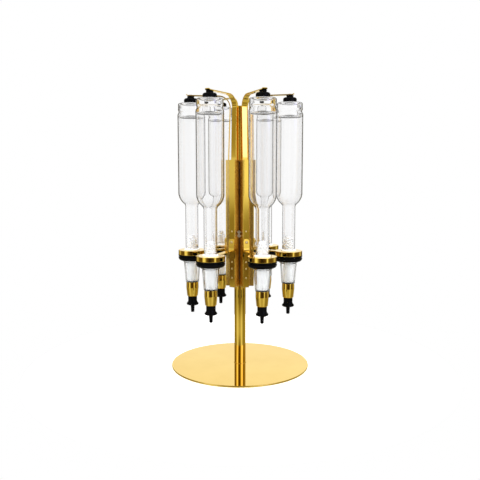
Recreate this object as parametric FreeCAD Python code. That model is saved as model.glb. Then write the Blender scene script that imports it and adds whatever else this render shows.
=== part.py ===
import FreeCAD, Part
import math
import os

# Six-station rotary bottle stand that pours single measures.
# Millimetres, +Z up, origin on the table under the centre of the round base.
# Station 1 stands at 240 degrees (front left), and the others follow every
# 60 degrees anticlockwise seen from above.

V = FreeCAD.Vector
os.makedirs("parts", exist_ok=True)

# ---------------------------------------------------------------- dimensions
STATIONS = 6
FIRST_ANGLE = 240.0
BOTTLE_CIRCLE_R = 105.0

BASE_R = 150.0
PAD_T = 1.0
BASE_T = 3.0
BASE_TOP = PAD_T + BASE_T

POLE_R = 12.5
POLE_BORE_R = 11.0
POLE_TOP = 557.5
CAP_T = 4.5

RAIL_BOTTOM = 177.5
RAIL_TOP = 449.0
RAIL_WEB_R = 30.0
RAIL_HALF_W = 7.3
RAIL_T = 1.2

TUBE_R = 16.0
TUBE_BORE_R = 14.0
TUBE_BOTTOM = 191.7
TUBE_TOP = 445.0
RUNNING = 0.05

STRIP_T = 2.0
STRIP_HALF_W = 5.9
STRIP_R = 24.0
STRIP_TOP_R = 20.5
STRIP_BOTTOM = 334.0
ARM_Z = 583.2
ARM_TIP_RISE = 1.5
LIP_START = 4.4
LIP_BEND_R = 5.0
LIP_ANGLE = 34.0
LIP_RUN = 2.0
LIP_CORNER_R = 1.8
ARM_LIFT = 45.0

RING_R = 29.5
RING_TOP = 255.0
RING_BOTTOM = 245.0
RING_HOLE_R = 15.25

BOTTLE_TOP = 568.3
BOTTLE_R = 28.5
NECK_R = 13.7
NECK_BORE_R = 10.9
MOUTH_Z = 258.4
STOPPER_BORE_R = 2.0

NOZZLE_TIP = 116.0
NOZZLE_STROKE = 8.0
SLEEVE_BOTTOM = 152.0
SLEEVE_TOP = 184.0


# ------------------------------------------------------------------- helpers
def wire_of(points):
    """Closed wire in the XZ plane. A point is (r, z), or ((rm, zm), (re, ze)) for an arc through the first to the second."""
    edges = []
    first = last = V(points[0][0], 0, points[0][1])
    for p in points[1:]:
        if isinstance(p[0], tuple):
            mid = V(p[0][0], 0, p[0][1])
            end = V(p[1][0], 0, p[1][1])
            edges.append(Part.Arc(last, mid, end).toShape())
        else:
            end = V(p[0], 0, p[1])
            edges.append(Part.LineSegment(last, end).toShape())
        last = end
    if last.distanceToPoint(first) > 1e-6:
        edges.append(Part.LineSegment(last, first).toShape())
    return Part.Wire(edges)


def lathe(points):
    return Part.Face(wire_of(points)).revolve(V(0, 0, 0), V(0, 0, 1), 360)


def ring(r0, r1, z0, z1):
    s = Part.makeCylinder(r1, z1 - z0, V(0, 0, z0))
    if r0 > 0:
        s = s.cut(Part.makeCylinder(r0, z1 - z0 + 2, V(0, 0, z0 - 1)))
    return s


def slab(r0, r1, t0, t1, z0, z1):
    return Part.makeBox(r1 - r0, t1 - t0, z1 - z0, V(r0, t0, z0))


def radial_cyl(r, x0, x1, t, z):
    """Cylinder lying along +X."""
    return Part.makeCylinder(r, x1 - x0, V(x0, t, z), V(1, 0, 0))


def solid(shape):
    shape = shape.removeSplitter()
    if shape.ShapeType != "Solid" and len(shape.Solids) == 1:
        shape = shape.Solids[0]
    return shape


def turned(shape, angle):
    s = shape.copy()
    s.rotate(V(0, 0, 0), V(0, 0, 1), angle)
    return s


def angle_of(i):
    return FIRST_ANGLE + i * 360.0 / STATIONS


def each(shape):
    """One compound of the shape at every station. The shape is made for the station at 0 degrees."""
    return Part.makeCompound([turned(shape, angle_of(i)) for i in range(STATIONS)])


def at_bottle(shape):
    s = shape.copy()
    s.translate(V(BOTTLE_CIRCLE_R, 0, 0))
    return s


def save(name, shape):
    solids = shape.Solids
    assert solids and all(s.isValid() and s.Volume > 0 for s in solids), name
    shape.exportStep(os.path.join("parts", name + ".step"))
    print(f"{name}: {len(solids)} solid(s), {sum(s.Volume for s in solids):.0f} mm3")


def screw(x_under, z, t, head_r, head_h, shank_r, shank_l):
    """Domed screw whose head stands outward (+X) of x_under, with a cross slot."""
    prof = [
        (0, -shank_l), (shank_r, -shank_l), (shank_r, 0), (head_r, 0),
        (head_r, head_h * 0.35),
        ((head_r * 0.72, head_h * 0.86), (0.3, head_h)), (0, head_h),
    ]
    s = lathe(prof)
    for a in (0, 90):
        c = Part.makeBox(head_r * 1.1, head_r * 0.22, head_h, V(-head_r * 0.55, -head_r * 0.11, head_h * 0.55))
        c.rotate(V(0, 0, 0), V(0, 0, 1), a)
        s = s.cut(c)
    s.rotate(V(0, 0, 0), V(0, 1, 0), 90)
    s.translate(V(x_under, t, z))
    return solid(s)


def rivet(x_under, z, head_r, head_h, shank_r, shank_l):
    s = lathe([
        (0, -shank_l), (shank_r, -shank_l), (shank_r, 0), (head_r, 0),
        ((head_r * 0.75, head_h * 0.75), (0.3, head_h)), (0, head_h),
    ])
    s.rotate(V(0, 0, 0), V(0, 1, 0), 90)
    s.translate(V(x_under, 0, z))
    return s


# --------------------------------------------------------------------- stand
pad = ring(15.0, BASE_R - 4.0, 0, PAD_T)
save("base_pad", pad)

base = lathe([
    (3.2, BASE_TOP), (3.2, 3.35), (5.55, 1.0),
    (BASE_R - 0.8, PAD_T),
    ((BASE_R - 0.235, PAD_T + 0.235), (BASE_R, PAD_T + 0.8)),
    (BASE_R, BASE_TOP - 0.8),
    ((BASE_R - 0.235, BASE_TOP - 0.235), (BASE_R - 0.8, BASE_TOP)),
])
save("base_plate", solid(base))

base_screw = lathe([
    (0, 1.2), (5.1, 1.2), (5.1, 1.35), (3.0, 3.45), (3.0, 26.0), (2.4, 27.0), (0, 27.0),
])
hexagon = Part.makePolygon([V(2.3 * math.cos(math.radians(60 * k)), 2.3 * math.sin(math.radians(60 * k)), 0.5) for k in range(7)])
base_screw = base_screw.cut(Part.Face(Part.Wire(hexagon.Edges)).extrude(V(0, 0, 3.0)))
save("base_screw", solid(base_screw))

foot_plug = lathe([
    (3.0, BASE_TOP), (13.3, BASE_TOP), (13.3, BASE_TOP + 0.8), (12.9, BASE_TOP + 1.2), (11.0, BASE_TOP + 1.2),
    (11.0, 29.0), (10.0, 30.0), (3.0, 30.0),
])
save("pole_foot_plug", solid(foot_plug))

pole = ring(POLE_BORE_R, POLE_R, BASE_TOP + 1.2, POLE_TOP)
save("pole", pole)

pole_cap = lathe([
    (0, POLE_TOP - 14), (10.2, POLE_TOP - 14), (POLE_BORE_R, POLE_TOP - 13), (POLE_BORE_R, POLE_TOP),
    (POLE_R, POLE_TOP), (POLE_R, POLE_TOP + CAP_T - 1.6),
    ((POLE_R - 0.5, POLE_TOP + CAP_T - 0.5), (POLE_R - 1.7, POLE_TOP + CAP_T)),
    (0, POLE_TOP + CAP_T),
])
save("pole_cap", solid(pole_cap))

# Collar brazed to the pole; the lower bush's flange runs on it.
thrust_collar = lathe([
    (POLE_R, 181.0), (14.9, 181.0), (15.4, 181.5), (15.4, TUBE_BOTTOM - 0.1), (POLE_R, TUBE_BOTTOM - 0.1),
])
save("thrust_collar", solid(thrust_collar))

# ------------------------------------------------------------ turning column
tube = ring(TUBE_BORE_R, TUBE_R, TUBE_BOTTOM + 1.6, TUBE_TOP)
brake_z = (296.2, 288.6)
for z in brake_z:
    tube = tube.cut(turned(radial_cyl(2.0, 10, 20, 0, z), 270.0))
save("column_tube", solid(tube))

lower_bush = ring(POLE_R + RUNNING, TUBE_BORE_R, TUBE_BOTTOM, TUBE_BOTTOM + 26).fuse(
    ring(POLE_R + RUNNING, 15.9, TUBE_BOTTOM, TUBE_BOTTOM + 1.6))
upper_bush = ring(POLE_R + RUNNING, TUBE_BORE_R, TUBE_TOP - 24, TUBE_TOP).fuse(
    ring(POLE_R + RUNNING, 15.9, TUBE_TOP, TUBE_TOP + 1.6))
save("column_bushes", Part.makeCompound([solid(lower_bush), solid(upper_bush)]))

# U-channel rails: web outward, flanges welded to the tube.
rail = slab(13.0, RAIL_WEB_R, -RAIL_HALF_W, RAIL_HALF_W, RAIL_BOTTOM, RAIL_TOP)
edges = [e for e in rail.Edges
         if abs(e.Vertexes[0].Point.x - RAIL_WEB_R) < 1e-6 and abs(e.Vertexes[1].Point.x - RAIL_WEB_R) < 1e-6
         and e.Length > 100]
rail = rail.makeFillet(0.9, edges)
rail = rail.cut(slab(5.0, RAIL_WEB_R - RAIL_T, -RAIL_HALF_W + RAIL_T, RAIL_HALF_W - RAIL_T, RAIL_BOTTOM - 1, RAIL_TOP + 1))
rail = rail.cut(Part.makeCylinder(TUBE_R + 0.02, 400, V(0, 0, 100)))
RIVET_Z = (298.0, 232.5, 218.0, 198.0)
BRACKET_SCREW_Z = 275.0
for z in RIVET_Z:
    rail = rail.cut(radial_cyl(1.2, 25, 35, 0, z))
rail = rail.cut(radial_cyl(2.0, 25, 35, 0, BRACKET_SCREW_Z))
rail = solid(rail)
rail_list = []
for i in range(STATIONS):
    one = turned(rail, angle_of(i))
    if i < 2:  # notches in the flanges either side of the front groove, for the brake screws
        for z in brake_z:
            one = one.cut(turned(radial_cyl(3.0, 10, 20.4, 0, z), 270.0))
        one = solid(one)
    rail_list.append(one)
save("rails", Part.makeCompound(rail_list))

inner_hw = RAIL_HALF_W - RAIL_T - 0.02
block_x1 = RAIL_WEB_R - RAIL_T


def block(z0, z1, holes):
    b = slab(12.0, block_x1, -inner_hw, inner_hw, z0, z1)
    b = b.cut(Part.makeCylinder(TUBE_R + 0.02, 400, V(0, 0, 100)))
    for z, r in holes:
        b = b.cut(radial_cyl(r, 20, 35, 0, z))
    return solid(b)


lower_block = block(190.0, 240.0, [(232.5, 1.2), (218.0, 1.2), (198.0, 1.2)])
upper_block = block(268.0, 306.0, [(298.0, 1.2), (BRACKET_SCREW_Z, 2.0)])
save("rail_blocks", each(Part.makeCompound([lower_block, upper_block])))

rivets = Part.makeCompound([rivet(RAIL_WEB_R, z, 2.1, 1.0, 1.2, 8.0) for z in RIVET_Z])
save("rail_rivets", each(rivets))

# Guide pads inside each rail, one either side of the sliding strip.
pad_in = slab(12.0, STRIP_R - STRIP_T / 2 - 0.1, -inner_hw, inner_hw, 423.0, 446.5).cut(
    Part.makeCylinder(TUBE_R + 0.02, 400, V(0, 0, 100)))
pad_out = slab(STRIP_R + STRIP_T / 2 + 0.1, block_x1, -inner_hw, inner_hw, 423.0, 446.5)
save("arm_guide_pads", each(Part.makeCompound([solid(pad_in), solid(pad_out)])))

# Two screws side by side up the front groove; their nylon tips drag on the pole.
brakes = []
for z in brake_z:
    s = lathe([
        (0, -2.4), (1.6, -2.4), (2.0, -2.0), (2.0, 6.2), (3.45, 6.2), (3.6, 6.5), (3.6, 9.4),
        (3.2, 9.9), (1.7, 9.9), (1.7, 7.8), (0, 7.8),
    ])
    s.rotate(V(0, 0, 0), V(0, 1, 0), 90)
    s.translate(V(TUBE_R - 1.0, 0, z))
    brakes.append(turned(s, 270.0))
save("brake_screws", Part.makeCompound(brakes))

# --------------------------------------------------------------- ring bracket
LEG_T = 2.0
leg_x0, leg_x1 = RAIL_WEB_R, RAIL_WEB_R + LEG_T
bend_in = 6.0
cz = RING_TOP + bend_in
cx = leg_x1 + bend_in
k = math.sqrt(0.5)
section = [
    (leg_x0, 282.0), (leg_x0, cz),
    ((cx - (bend_in + LEG_T) * k, cz - (bend_in + LEG_T) * k), (cx, RING_TOP - LEG_T)),
    (BOTTLE_CIRCLE_R - 20.0, RING_TOP - LEG_T), (BOTTLE_CIRCLE_R - 20.0, RING_TOP), (cx, RING_TOP),
    ((cx - bend_in * k, cz - bend_in * k), (leg_x1, cz)),
    (leg_x1, 282.0),
]
strap = Part.Face(wire_of(section)).extrude(V(0, 2 * 7.0, 0))
strap.translate(V(0, -7.0, 0))
top_edges = [e for e in strap.Edges
             if abs(e.Length - LEG_T) < 1e-6 and e.BoundBox.ZMin > 281.9]
strap = strap.makeFillet(5.0, top_edges)
rim = lathe([
    (RING_HOLE_R, RING_TOP), (RING_HOLE_R, RING_TOP - 3.0), (26.5, RING_TOP - 3.0), (26.5, RING_BOTTOM),
    (RING_R - 0.4, RING_BOTTOM), (RING_R, RING_BOTTOM + 0.4), (RING_R, RING_TOP - 0.7), (RING_R - 0.7, RING_TOP),
])
rim = at_bottle(rim)
strap = strap.cut(at_bottle(Part.makeCylinder(22.0, 20, V(0, 0, 240))))
bracket = strap.fuse(rim)
bracket = bracket.cut(radial_cyl(2.0, 25, 40, 0, BRACKET_SCREW_Z))
save("ring_brackets", each(solid(bracket)))
save("bracket_screws", each(screw(leg_x1, BRACKET_SCREW_Z, 0, 3.3, 1.9, 2.0, 12.0)))

# -------------------------------------------------------------------- bottles
bottle = lathe([
    # outside, from the middle of the punt to the mouth
    (0, BOTTLE_TOP - 7.5), (0.4, BOTTLE_TOP - 7.5),
    ((12.0, BOTTLE_TOP - 6.0), (21.5, BOTTLE_TOP - 1.2)),
    ((22.6, BOTTLE_TOP - 0.25), (23.8, BOTTLE_TOP)),
    ((26.0, BOTTLE_TOP - 0.75), (27.1, BOTTLE_TOP - 2.8)),
    (27.2, 553.5),
    ((26.2, 550.5), (27.0, 547.6)),
    ((28.1, 545.2), (BOTTLE_R, 541.0)),
    (BOTTLE_R, 378.0),
    ((25.3, 366.2), (17.5, 356.0)),
    ((14.6, 352.6), (NECK_R, 347.0)),
    (NECK_R, MOUTH_Z + 0.8), (NECK_R - 0.8, MOUTH_Z),
    # inside, from the mouth back up
    (NECK_BORE_R, MOUTH_Z), (NECK_BORE_R, 347.0),
    ((11.8, 353.4), (15.0, 358.2)),
    ((23.0, 368.0), (26.2, 378.5)),
    (26.2, 535.0),
    ((24.6, 539.8), (20.0, 542.0)),
    ((10.0, 543.3), (0.4, 543.8)), (0, 543.8),
])
bottle = at_bottle(solid(bottle))
for i in range(STATIONS):
    save(f"bottle_{i + 1}", turned(bottle, angle_of(i)))

stopper_pts = [
    (STOPPER_BORE_R, 243.0), (15.1, 243.0), (15.1, RING_TOP), (17.5, RING_TOP), (17.8, RING_TOP + 0.4),
    (17.4, RING_TOP + 1.6), (14.4, MOUTH_Z), (10.2, MOUTH_Z),
]
for z in (261.0, 265.0, 269.0, 273.0, 277.0):
    body_r = 10.2 - (z - 259.0) * 0.085
    stopper_pts += [(body_r - 0.5, z), (10.7, z + 0.9), (10.7, z + 1.7), (body_r - 0.7, z + 2.4)]
stopper_pts += [(7.6, 281.5), (6.2, 286.4), (5.6, 287.0), (STOPPER_BORE_R, 287.0)]
save("stoppers", each(at_bottle(solid(lathe(stopper_pts)))))

stopper_gasket = ring(4.0, 15.2, 240.0, 243.0)

collar = lathe([
    (15.25, 251.8), (26.4, 251.8), (26.4, 245.0), (29.4, 245.0), (29.8, 244.6), (29.8, 242.6), (29.2, 242.0),
    (27.9, 241.6), (27.9, 240.6), (29.3, 240.1), (29.7, 239.6), (29.5, 237.6),
    ((27.6, 234.4), (24.0, 232.0)),
    (18.05, 232.0), (18.05, 240.0), (15.25, 240.0),
])
save("measure_collars", each(at_bottle(solid(collar))))

chamber = lathe([
    (13.0, 240.0), (18.0, 240.0), (18.0, 232.0), (20.2, 231.8), (20.2, 230.6), (18.2, 228.8), (17.7, 226.0),
    (14.3, 185.0), (13.9, 184.0), (12.25, 184.0), (12.25, 176.2), (11.05, 176.2), (11.05, 184.0),
    (12.6, 185.4), (16.1, 227.0), (16.4, 238.5), (13.0, 238.5),
])
save("measure_chambers", each(at_bottle(solid(chamber))))

port = Part.makeCylinder(1.0, 6.0, V(0, 0, 190.6), V(math.sin(math.radians(5.6)), -math.cos(math.radians(5.6)), 0))
port.translate(V(8.0 * math.sin(math.radians(5.6)), -8.0 * math.cos(math.radians(5.6)), 0))
piston_tubes = []
for i in range(STATIONS):
    a = math.radians(angle_of(i))
    s = ring(9.5, 11.0, 176.0, 237.0).cut(port)
    s = solid(s)
    s.translate(V(BOTTLE_CIRCLE_R * math.cos(a), BOTTLE_CIRCLE_R * math.sin(a), 0))
    piston_tubes.append(s)
save("inner_cylinders", Part.makeCompound(piston_tubes))

sleeve = lathe([
    (12.3, SLEEVE_TOP), (13.2, SLEEVE_TOP), (13.6, SLEEVE_TOP - 0.4), (13.3, 172.0),
    ((12.5, 162.0), (11.0, SLEEVE_BOTTOM + 0.5)), (10.6, SLEEVE_BOTTOM),
    (9.6, SLEEVE_BOTTOM), (9.6, 171.6), (3.0, 171.6), (3.0, 176.0), (12.3, 176.0),
])
save("measure_sleeves", each(at_bottle(solid(sleeve))))
valve_seal = ring(2.6, 9.0, 176.0, 177.5)
save("measure_seals", each(at_bottle(Part.makeCompound([stopper_gasket, valve_seal]))))


def coil(coil_r, wire_r, pitch, height):
    """Coil spring. The wire is eight-sided, with the area of the round wire it stands for."""
    helix = Part.makeHelix(pitch, height, coil_r)
    flat = wire_r * 1.054
    corners = [
        V(coil_r + flat * math.cos(math.pi * (k + 0.5) / 4), 0, flat * math.sin(math.pi * (k + 0.5) / 4))
        for k in range(9)
    ]
    profile = Part.Wire(Part.makePolygon(corners).Edges)
    s = Part.Wire(helix.Edges).makePipeShell([profile], True, True)
    return s.Solids[0] if s.Solids else Part.makeSolid(s)


valve_spring = coil(5.9, 0.55, 3.6, 20.2)
valve_spring.translate(V(0, 0, 150.75))
save("valve_springs", each(at_bottle(valve_spring)))

# ----------------------------------------------------------- nozzles and rods
nozzle = lathe([
    (1.8, NOZZLE_TIP + 30.0), (1.8, 150.0), (7.2, 150.0), (7.2, 158.0), (8.9, 158.0), (9.4, 157.5), (9.4, 144.5),
    ((9.8, 140.0), (12.0, 136.6)),
    ((12.45, 135.2), (12.2, 133.6)),
    ((10.0, 132.2), (4.4, 131.8)),
    (3.9, 131.0), (3.2, 118.0), ((2.7, 116.4), (2.1, NOZZLE_TIP)),
    (1.3, NOZZLE_TIP), (1.6, 128.0), (1.8, 130.0),
])
nozzle = at_bottle(solid(nozzle))
rod = lathe([
    (0, 146.4), (1.8, 146.4), (1.8, 177.7), (6.0, 177.7), (6.0, 179.7), (1.8, 180.2), (1.8, 222.0), (7.0, 222.0),
    (7.0, 224.5), (1.8, 225.0), (1.8, 228.5), (1.2, 229.5), (0, 229.5),
])
rod = at_bottle(solid(rod))
for i in range(STATIONS):
    save(f"nozzle_{i + 1}", turned(nozzle, angle_of(i)))
    save(f"valve_rod_{i + 1}", turned(rod, angle_of(i)))

# ----------------------------------------------------------------------- arms
# Centre line in the station's own vertical plane: up inside the rail, leaning
# in towards the pole, then a wide bend out over the bottle.
def arm_centre(n_bend=14):
    pts = [(STRIP_R, STRIP_BOTTOM), (STRIP_R, 453.0)]
    rb = 25.0
    lean = math.atan2(STRIP_R - STRIP_TOP_R, 557.0 - 453.0)
    rise = math.atan2(ARM_TIP_RISE, 60.0)
    return pts, rb, lean, rise


def offset_path(off):
    """The centre line moved sideways by off, positive to the outside of the bend (towards the pole and up)."""
    _, rb, lean, rise = arm_centre()
    n_low = (-1.0, 0.0)
    n_lean = (-math.cos(lean), -math.sin(lean))
    n_top = (-math.sin(rise), math.cos(rise))
    start = (STRIP_R, STRIP_BOTTOM)
    knee = (STRIP_R, 453.0)
    bend_c = None
    # bend centre: rb to the right of the leaning line's end
    end_lean = (STRIP_TOP_R, 557.0)
    bend_c = (end_lean[0] + rb * math.cos(lean), end_lean[1] + rb * math.sin(lean))
    r_eff = rb + off
    a0 = math.pi + lean
    a1 = math.pi / 2 + rise
    am = (a0 + a1) / 2
    p = lambda c, r, a: (c[0] + r * math.cos(a), c[1] + r * math.sin(a))
    b0, bm, b1 = p(bend_c, r_eff, a0), p(bend_c, r_eff, am), p(bend_c, r_eff, a1)
    tip_x = BOTTLE_CIRCLE_R + LIP_START
    top_dir = (math.cos(rise), math.sin(rise))
    s = (tip_x - b1[0]) / top_dir[0]
    tip = (tip_x, b1[1] + s * top_dir[1])
    half = lean / 2
    knee_off = (knee[0] - off * math.cos(half) / math.cos(half) , knee[1] - off * math.tan(half))
    return (start[0] - off, start[1]), knee_off, b0, bm, b1, tip


def lip_path(off):
    """The finger lip at the strip's end, turned up from the offset line: middle and end of its bend, then its tip."""
    _, _, _, rise = arm_centre()
    tip = offset_path(0.0)[5]
    turn = math.radians(LIP_ANGLE)
    centre = (tip[0] - LIP_BEND_R * math.sin(rise), tip[1] + LIP_BEND_R * math.cos(rise))
    r = LIP_BEND_R - off
    q = lambda a: (centre[0] + r * math.sin(rise + a), centre[1] - r * math.cos(rise + a))
    end = q(turn)
    return q(turn / 2), end, (end[0] + LIP_RUN * math.cos(rise + turn), end[1] + LIP_RUN * math.sin(rise + turn)), q(0.0)


def arm_height(x):
    _, knee, b0, bm, b1, tip = offset_path(0.0)
    return b1[1] + (x - b1[0]) * (tip[1] - b1[1]) / (tip[0] - b1[0])


h = STRIP_T / 2
i0 = offset_path(-h)
o0 = offset_path(h)
i1, o1 = lip_path(-h), lip_path(h)
outline = [i0[0], i0[1], i0[2], (i0[3], i0[4]), i1[3], (i1[0], i1[1]), i1[2],
           o1[2], o1[1], (o1[0], o1[3]), o0[4], (o0[3], o0[2]), o0[1], o0[0]]
arm = Part.Face(wire_of(outline)).extrude(V(0, 2 * STRIP_HALF_W, 0))
arm.translate(V(0, -STRIP_HALF_W, 0))
tip_edges = [e for e in arm.Edges if abs(e.CenterOfMass.x - (i1[2][0] + o1[2][0]) / 2) < 0.01 and e.BoundBox.YLength < 0.01]
assert len(tip_edges) == 2
arm = arm.makeFillet(LIP_CORNER_R, tip_edges)
arm = arm.cut(Part.makeCylinder(2.1, 30, V(BOTTLE_CIRCLE_R, 0, 570)))
arm = solid(arm)

strip_under = arm_height(BOTTLE_CIRCLE_R) - h
strip_over = arm_height(BOTTLE_CIRCLE_R) + h
print("arm underside", round(strip_under, 3), "top", round(strip_over, 3))
cap_top = strip_under - 0.25
cap_bottom = BOTTLE_TOP + 0.35
cap = lathe([
    (2.1, cap_top), (7.6, cap_top), ((8.1, cap_top - 0.2), (8.3, cap_top - 0.9)), (8.2, cap_top - 2.2),
    ((7.8, cap_top - 3.2), (8.0, cap_top - 4.2)),
    ((8.5, cap_top - 4.9), (9.6, cap_top - 5.3)),
    ((12.9, cap_bottom + 6.2), (14.5, cap_bottom + 3.4)),
    (14.6, cap_bottom + 1.6), ((14.4, cap_bottom + 0.5), (13.4, cap_bottom)),
    (11.5, cap_bottom), (10.6, cap_bottom + 1.0), (5.4, cap_bottom + 1.0), (2.1, cap_bottom + 1.0),
])
stud = lathe([
    (0, cap_bottom - 1.6), (0.3, cap_bottom - 1.6), ((3.0, cap_bottom - 1.2), (5.2, cap_bottom + 0.4)), (5.2, cap_bottom + 1.0), (2.1, cap_bottom + 1.0),
    (2.1, strip_over + 0.12), (3.9, strip_over + 0.12), (3.9, strip_over + 0.9),
    ((2.6, strip_over + 1.75), (0.3, strip_over + 2.0)), (0, strip_over + 2.0),
])
cap = at_bottle(solid(cap))
stud = at_bottle(solid(stud))
for i in range(STATIONS):
    save(f"arm_strip_{i + 1}", turned(arm, angle_of(i)))
    save(f"presser_cap_{i + 1}", turned(cap, angle_of(i)))
    save(f"presser_stud_{i + 1}", turned(stud, angle_of(i)))

# Tension springs that pull the strips down, hooked between the upper block and the strip's foot.
spring_z0, spring_z1 = 306.6, STRIP_BOTTOM - 0.6
arm_spring = coil(2.6, 0.5, 2.5, spring_z1 - spring_z0)
arm_spring.translate(V(STRIP_R, 0, spring_z0))
save("arm_springs", each(arm_spring))
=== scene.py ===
import math

import bmesh
import bpy
from mathutils import Matrix, Vector


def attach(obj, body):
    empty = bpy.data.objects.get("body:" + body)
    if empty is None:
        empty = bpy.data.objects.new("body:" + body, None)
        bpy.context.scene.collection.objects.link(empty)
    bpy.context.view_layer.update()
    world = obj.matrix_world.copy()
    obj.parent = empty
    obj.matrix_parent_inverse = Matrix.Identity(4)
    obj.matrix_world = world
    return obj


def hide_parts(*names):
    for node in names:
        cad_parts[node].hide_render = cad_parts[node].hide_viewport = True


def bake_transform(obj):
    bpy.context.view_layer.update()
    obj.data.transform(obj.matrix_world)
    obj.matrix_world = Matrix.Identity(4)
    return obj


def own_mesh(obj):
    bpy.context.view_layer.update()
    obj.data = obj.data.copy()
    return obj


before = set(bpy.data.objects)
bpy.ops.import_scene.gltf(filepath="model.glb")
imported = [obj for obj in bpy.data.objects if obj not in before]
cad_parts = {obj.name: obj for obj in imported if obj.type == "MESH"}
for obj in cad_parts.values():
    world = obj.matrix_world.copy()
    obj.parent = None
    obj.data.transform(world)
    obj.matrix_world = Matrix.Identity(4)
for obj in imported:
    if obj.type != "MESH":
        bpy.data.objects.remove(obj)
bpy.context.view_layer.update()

MM = 0.001
STATIONS = 6
ANGLES = [math.radians(240.0 + 60.0 * i) for i in range(STATIONS)]
BOTTLE_R = 105.0
scene = bpy.context.scene


# ---------------------------------------------------------------------------
# Shape helpers. Profiles are in millimetres and become metres in the mesh.
# ---------------------------------------------------------------------------
def arc_points(a, m, b, n):
    """n points after a, on the circle through a, m and b."""
    ax, ay = a
    bx, by = m
    cx, cy = b
    d = 2 * (ax * (by - cy) + bx * (cy - ay) + cx * (ay - by))
    if abs(d) < 1e-9:
        return [b]
    ux = ((ax * ax + ay * ay) * (by - cy) + (bx * bx + by * by) * (cy - ay) + (cx * cx + cy * cy) * (ay - by)) / d
    uy = ((ax * ax + ay * ay) * (cx - bx) + (bx * bx + by * by) * (ax - cx) + (cx * cx + cy * cy) * (bx - ax)) / d
    r = math.hypot(ax - ux, ay - uy)
    t0 = math.atan2(ay - uy, ax - ux)
    tm = math.atan2(by - uy, bx - ux)
    t1 = math.atan2(cy - uy, cx - ux)
    two = 2 * math.pi
    fwd = (t1 - t0) % two
    if (tm - t0) % two > fwd:
        fwd -= two
    return [(ux + r * math.cos(t0 + fwd * k / n), uy + r * math.sin(t0 + fwd * k / n)) for k in range(1, n)] + [b]


def outline(points, n=8):
    """Polyline from (x, y) points and ((xm, ym), (xe, ye)) arcs."""
    out = [points[0]]
    for p in points[1:]:
        if isinstance(p[0], tuple):
            out += arc_points(out[-1], p[0], p[1], n)
        else:
            out.append(p)
    return out


def soften(points, r=0.3, steps=3, least=24.0, guard=0.18, axis=True):
    """Rounds the corners of a closed outline and puts a guard point each side of every rounding."""
    n = len(points)
    out = []
    for i in range(n):
        p, a, b = Vector(points[i]), Vector(points[i - 1]), Vector(points[(i + 1) % n])
        da, db = a - p, b - p
        la, lb = da.length, db.length
        if la < 1e-9 or lb < 1e-9:
            continue
        if axis and abs(p.x) < 1e-6:
            out.append((p.x, p.y))
            continue
        turn = math.degrees(math.pi - da.angle(db))
        if turn < least:
            out.append((p.x, p.y))
            continue
        cut = min(r * math.tan(math.radians(turn / 2)), 0.42 * la, 0.42 * lb)
        da.normalize(); db.normalize()
        s, e = p + da * cut, p + db * cut
        if la > 2 * cut + 3 * guard:
            q = s + da * guard
            out.append((q.x, q.y))
        # quadratic through the corner is close to the arc at these sizes
        for k in range(steps + 1):
            t = k / steps
            w = 0.72
            bez = (s * ((1 - t) ** 2) + p * (2 * w * t * (1 - t)) + e * (t ** 2)) / ((1 - t) ** 2 + 2 * w * t * (1 - t) + t ** 2)
            out.append((bez.x, bez.y))
        if lb > 2 * cut + 3 * guard:
            q = e + db * guard
            out.append((q.x, q.y))
    return out


def finish_mesh(name, bm, angle=38.0):
    bmesh.ops.remove_doubles(bm, verts=bm.verts, dist=1e-7)
    bmesh.ops.recalc_face_normals(bm, faces=bm.faces)
    me = bpy.data.meshes.new(name)
    bm.to_mesh(me)
    bm.free()
    for p in me.polygons:
        p.use_smooth = True
    me.set_sharp_from_angle(angle=math.radians(angle))
    ob = bpy.data.objects.new(name, me)
    scene.collection.objects.link(ob)
    return ob


def add_lathe(bm, profile, matrix=Matrix.Identity(4), seg=96, phase=0.0):
    """Revolves a closed (radius, height) outline about the matrix's Z axis."""
    rings = []
    for r, z in profile:
        if abs(r) < 1e-6:
            rings.append([bm.verts.new(matrix @ Vector((0, 0, z * MM)))])
        else:
            rings.append([
                bm.verts.new(matrix @ Vector((r * MM * math.cos(phase + 2 * math.pi * k / seg), r * MM * math.sin(phase + 2 * math.pi * k / seg), z * MM)))
                for k in range(seg)
            ])
    n = len(rings)
    for i in range(n):
        a, b = rings[i], rings[(i + 1) % n]
        if len(a) == 1 and len(b) == 1:
            continue
        for k in range(seg):
            k2 = (k + 1) % seg
            if len(a) == 1:
                bm.faces.new((a[0], b[k2], b[k]))
            elif len(b) == 1:
                bm.faces.new((a[k], a[k2], b[0]))
            else:
                bm.faces.new((a[k], a[k2], b[k2], b[k]))


def place(i, radius=BOTTLE_R):
    """Frame of station i: X points outward, at the given distance from the pole."""
    a = ANGLES[i]
    return Matrix.Rotation(a, 4, "Z") @ Matrix.Translation((radius * MM, 0, 0))


def lathes(name, profile, places, seg=96, angle=38.0):
    bm = bmesh.new()
    for m in places:
        add_lathe(bm, profile, m, seg)
    return finish_mesh(name, bm, angle)


def add_prism(bm, polygon, z0, z1, matrix=Matrix.Identity(4), levels=()):
    """Extrudes an (x, y) outline from z0 to z1, with its end faces."""
    heights = [z0, *levels, z1]
    loops = [[bm.verts.new(matrix @ Vector((x * MM, y * MM, z * MM))) for x, y in polygon] for z in heights]
    n = len(polygon)
    for a, b in zip(loops, loops[1:]):
        for k in range(n):
            bm.faces.new((a[k], a[(k + 1) % n], b[(k + 1) % n], b[k]))
    bm.faces.new(list(reversed(loops[0])))
    bm.faces.new(loops[-1])


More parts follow.
